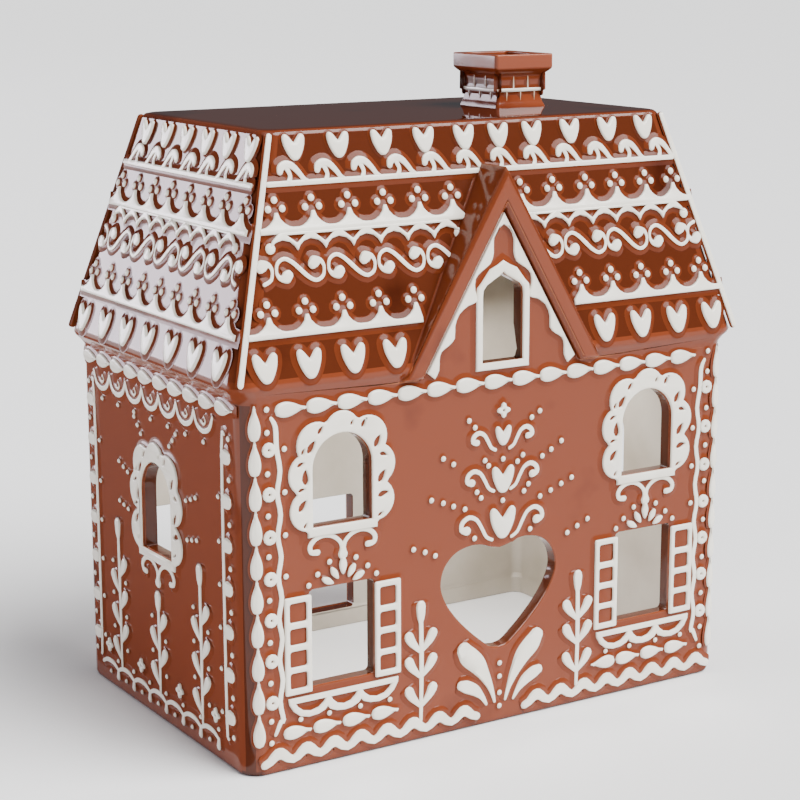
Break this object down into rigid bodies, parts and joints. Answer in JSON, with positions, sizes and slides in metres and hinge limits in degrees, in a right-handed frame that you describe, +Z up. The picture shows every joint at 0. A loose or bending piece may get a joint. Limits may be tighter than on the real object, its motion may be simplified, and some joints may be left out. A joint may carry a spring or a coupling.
{
  "type": "ceramic gingerbread house",
  "caption": "Hollow glazed ceramic gingerbread house with a steep roof, front dormer, chimney, open windows and raised white icing; open below.",
  "frame": {"origin": "middle of the base ring, on the surface the house stands on", "axes": "+Z up; the front with the dormer and the heart opening faces -Y; +X to the right of someone looking at the front"},
  "size_m": [0.2752, 0.1766, 0.304],
  "materials": {
    "glazed_clay": "glossy warm brown glaze with raised white enamel icing; bare pale clay inside"
  },
  "bodies": {
    "root": {"house": "glazed_clay"}
  },
  "joints": []
}
